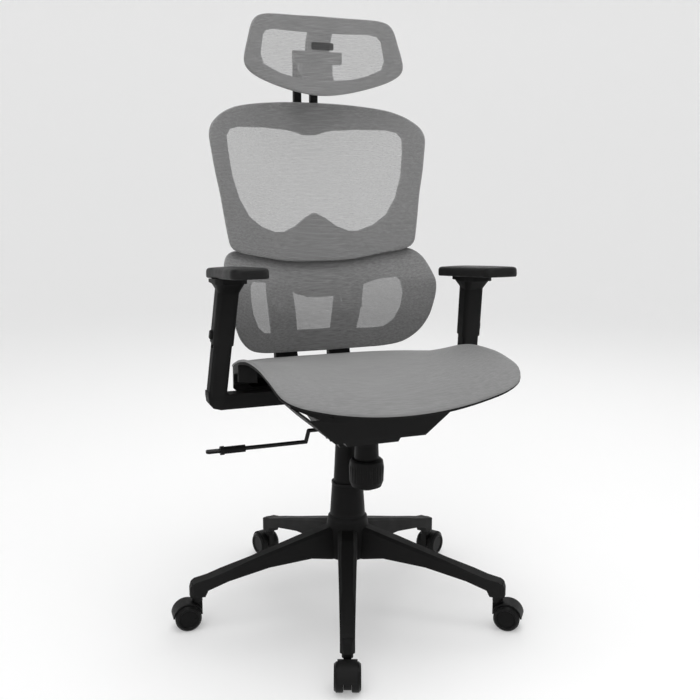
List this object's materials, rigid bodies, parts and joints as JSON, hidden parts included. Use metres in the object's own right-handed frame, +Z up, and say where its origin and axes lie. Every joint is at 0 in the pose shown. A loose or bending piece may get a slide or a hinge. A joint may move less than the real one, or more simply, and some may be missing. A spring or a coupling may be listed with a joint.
{
  "type": "office chair",
  "caption": "High-backed mesh desk chair with saddle seat, separate lumbar panel, adjustable armrests and headrest, gas column and castor base",
  "frame": {"origin": "on the floor, on the axis of the gas column", "axes": "+Z up; the sitter faces -Y; +X is the sitter's left. The lever is on the sitter's right (-X)."},
  "size_m": [0.6597, 0.682, 1.1668],
  "materials": {
    "mesh": "woven mesh",
    "pad": "soft matt polyurethane",
    "steel": "zinc plated or black oxide",
    "casting": "satin black powder coat",
    "black_plastic": "fine textured",
    "wheel": "semi-gloss nylon"
  },
  "bodies": {
    "base": {"base_star": "black_plastic", "column_tube": "steel", "guide_bush": "black_plastic", "thrust_bearing": "black_plastic", "sleeve_lower": "black_plastic"},
    "piston": {"piston_rod": "steel"},
    "column": {"gas_cylinder": "steel", "sleeve_upper": "black_plastic", "mechanism_housing": "casting", "tilt_pin": "steel", "tilt_spring": "steel"},
    "seat": {"top_plate": "steel", "seat_frame": "black_plastic", "seat_mesh": "mesh", "under_cover": "black_plastic", "cap_screws": "steel", "spine": "black_plastic", "back_frame": "black_plastic", "back_mesh": "mesh", "lumbar_pins": "steel", "arm_bracket_left": "black_plastic", "arm_bracket_right": "black_plastic"},
    "arm_left": {"arm_sleeve_left": "black_plastic"},
    "arm_right": {"arm_sleeve_right": "black_plastic"},
    "turntable_left": {"pad_carrier_left": "black_plastic"},
    "turntable_right": {"pad_carrier_right": "black_plastic"},
    "pad_left": {"arm_pad_left": "pad"},
    "pad_right": {"arm_pad_right": "pad"},
    "arm_button_left": {"arm_button_left": "black_plastic"},
    "arm_button_right": {"arm_button_right": "black_plastic"},
    "lumbar": {"lumbar_frame": "black_plastic", "lumbar_mesh": "mesh"},
    "head_slider": {"head_posts": "black_plastic"},
    "headrest": {"head_frame": "black_plastic", "head_mesh": "mesh", "head_pin": "steel"},
    "knob": {"tension_knob": "black_plastic"},
    "lever": {"height_lever": "steel", "lever_grip": "black_plastic"},
    "valve": {"valve_button": "steel"},
    "castor_1": {"castor_housing_1": "black_plastic", "castor_steel_1": "steel"},
    "wheel_1a": {"castor_wheel_1a": "wheel"},
    "wheel_1b": {"castor_wheel_1b": "wheel"},
    "castor_2": {"castor_housing_2": "black_plastic", "castor_steel_2": "steel"},
    "wheel_2a": {"castor_wheel_2a": "wheel"},
    "wheel_2b": {"castor_wheel_2b": "wheel"},
    "castor_3": {"castor_housing_3": "black_plastic", "castor_steel_3": "steel"},
    "wheel_3a": {"castor_wheel_3a": "wheel"},
    "wheel_3b": {"castor_wheel_3b": "wheel"},
    "castor_4": {"castor_housing_4": "black_plastic", "castor_steel_4": "steel"},
    "wheel_4a": {"castor_wheel_4a": "wheel"},
    "wheel_4b": {"castor_wheel_4b": "wheel"},
    "castor_5": {"castor_housing_5": "black_plastic", "castor_steel_5": "steel"},
    "wheel_5a": {"castor_wheel_5a": "wheel"},
    "wheel_5b": {"castor_wheel_5b": "wheel"}
  },
  "joints": [
    {"name": "seat_height", "type": "slide", "parent": "piston", "child": "column", "axis": [0, 0, 1], "range_m": [-0.08, 0.01]},
    {"name": "tilt", "type": "hinge", "parent": "column", "child": "seat", "pos_m": [0, -0.045, 0.395], "axis": [-1, 0, 0], "range_deg": [0, 16], "stiffness_Nm_per_rad": 75, "springref_deg": -34.38},
    {"name": "swivel", "type": "hinge", "parent": "base", "child": "piston", "pos_m": [0, 0, 0.114], "axis": [0, 0, 1], "continuous": true},
    {"name": "arm_height_left", "type": "slide", "parent": "seat", "child": "arm_left", "axis": [-0.0709, -0.2084, 0.9755], "range_m": [0, 0.07]},
    {"name": "arm_height_right", "type": "slide", "parent": "seat", "child": "arm_right", "axis": [0.0709, -0.2084, 0.9755], "range_m": [-0.013, 0.057]},
    {"name": "headrest_height", "type": "slide", "parent": "seat", "child": "head_slider", "axis": [0, 0, 1], "range_m": [0, 0.035]},
    {"name": "headrest_tilt", "type": "hinge", "parent": "head_slider", "child": "headrest", "pos_m": [0, 0.188, 1.075], "axis": [-1, 0, 0], "range_deg": [-20, 20]},
    {"name": "lumbar_rock", "type": "hinge", "parent": "seat", "child": "lumbar", "pos_m": [0, 0.184, 0.6], "axis": [-1, 0, 0], "range_deg": [0, 6], "stiffness_Nm_per_rad": 30, "springref_deg": -6.88},
    {"name": "pad_turn_left", "type": "hinge", "parent": "arm_left", "child": "turntable_left", "pos_m": [0.24551, -0.04263, 0.658], "axis": [0, 0, 1], "range_deg": [-15, 15]},
    {"name": "pad_turn_right", "type": "hinge", "parent": "arm_right", "child": "turntable_right", "pos_m": [-0.24458, -0.04534, 0.67068], "axis": [0, 0, 1], "range_deg": [-15, 15]},
    {"name": "pad_slide_left", "type": "slide", "parent": "turntable_left", "child": "pad_left", "axis": [0, 0.9976, -0.0698], "range_m": [-0.03, 0.015]},
    {"name": "pad_slide_right", "type": "slide", "parent": "turntable_right", "child": "pad_right", "axis": [0, 0.9976, -0.0698], "range_m": [-0.03, 0.015]},
    {"name": "height_button_left", "type": "slide", "parent": "arm_left", "child": "arm_button_left", "axis": [-0.9975, 0.0148, -0.0693], "range_m": [0, 0.0028], "stiffness_N_per_m": 600, "springref_m": -0.002},
    {"name": "height_button_right", "type": "slide", "parent": "arm_right", "child": "arm_button_right", "axis": [0.9975, 0.0148, -0.0693], "range_m": [0, 0.0028], "stiffness_N_per_m": 600, "springref_m": -0.002},
    {"name": "lever_lift", "type": "hinge", "parent": "column", "child": "lever", "pos_m": [-0.03, 0.008, 0.37], "axis": [0, 1, 0], "range_deg": [0, 7], "stiffness_Nm_per_rad": 4, "springref_deg": -8.59},
    {"name": "valve_press", "type": "slide", "parent": "column", "child": "valve", "axis": [0, 0, 1], "range_m": [-0.0038, 0]},
    {"name": "tension_turn", "type": "hinge", "parent": "column", "child": "knob", "pos_m": [0, -0.1, 0.34], "axis": [0, 0, 1], "continuous": true},
    {"name": "castor_swivel_1", "type": "hinge", "parent": "base", "child": "castor_1", "pos_m": [-0.1093, -0.28474, 0.062], "axis": [0, 0, 1], "continuous": true},
    {"name": "castor_swivel_2", "type": "hinge", "parent": "base", "child": "castor_2", "pos_m": [0.23703, -0.19194, 0.062], "axis": [0, 0, 1], "continuous": true},
    {"name": "castor_swivel_3", "type": "hinge", "parent": "base", "child": "castor_3", "pos_m": [0.25579, 0.16612, 0.062], "axis": [0, 0, 1], "continuous": true},
    {"name": "castor_swivel_4", "type": "hinge", "parent": "base", "child": "castor_4", "pos_m": [-0.07894, 0.29461, 0.062], "axis": [0, 0, 1], "continuous": true},
    {"name": "castor_swivel_5", "type": "hinge", "parent": "base", "child": "castor_5", "pos_m": [-0.30458, 0.01596, 0.062], "axis": [0, 0, 1], "continuous": true},
    {"name": "wheel_roll_1a", "type": "hinge", "parent": "castor_1", "child": "wheel_1a", "pos_m": [-0.11647, -0.30341, 0.025], "axis": [0.9336, -0.3584, 0], "continuous": true},
    {"name": "wheel_roll_1b", "type": "hinge", "parent": "castor_1", "child": "wheel_1b", "pos_m": [-0.11647, -0.30341, 0.025], "axis": [0.9336, -0.3584, 0], "continuous": true},
    {"name": "wheel_roll_2a", "type": "hinge", "parent": "castor_2", "child": "wheel_2a", "pos_m": [0.25257, -0.20453, 0.025], "axis": [0.6293, 0.7771, 0], "continuous": true},
    {"name": "wheel_roll_2b", "type": "hinge", "parent": "castor_2", "child": "wheel_2b", "pos_m": [0.25257, -0.20453, 0.025], "axis": [0.6293, 0.7771, 0], "continuous": true},
    {"name": "wheel_roll_3a", "type": "hinge", "parent": "castor_3", "child": "wheel_3a", "pos_m": [0.27257, 0.17701, 0.025], "axis": [-0.5446, 0.8387, 0], "continuous": true},
    {"name": "wheel_roll_3b", "type": "hinge", "parent": "castor_3", "child": "wheel_3b", "pos_m": [0.27257, 0.17701, 0.025], "axis": [-0.5446, 0.8387, 0], "continuous": true},
    {"name": "wheel_roll_4a", "type": "hinge", "parent": "castor_4", "child": "wheel_4a", "pos_m": [-0.08412, 0.31393, 0.025], "axis": [-0.9659, -0.2588, 0], "continuous": true},
    {"name": "wheel_roll_4b", "type": "hinge", "parent": "castor_4", "child": "wheel_4b", "pos_m": [-0.08412, 0.31393, 0.025], "axis": [-0.9659, -0.2588, 0], "continuous": true},
    {"name": "wheel_roll_5a", "type": "hinge", "parent": "castor_5", "child": "wheel_5a", "pos_m": [-0.32455, 0.01701, 0.025], "axis": [-0.0523, -0.9986, 0], "continuous": true},
    {"name": "wheel_roll_5b", "type": "hinge", "parent": "castor_5", "child": "wheel_5b", "pos_m": [-0.32455, 0.01701, 0.025], "axis": [-0.0523, -0.9986, 0], "continuous": true}
  ],
  "couplings": [
    {"joint": "valve_press", "follows": "lever_lift", "m_per_rad": -0.03}
  ]
}
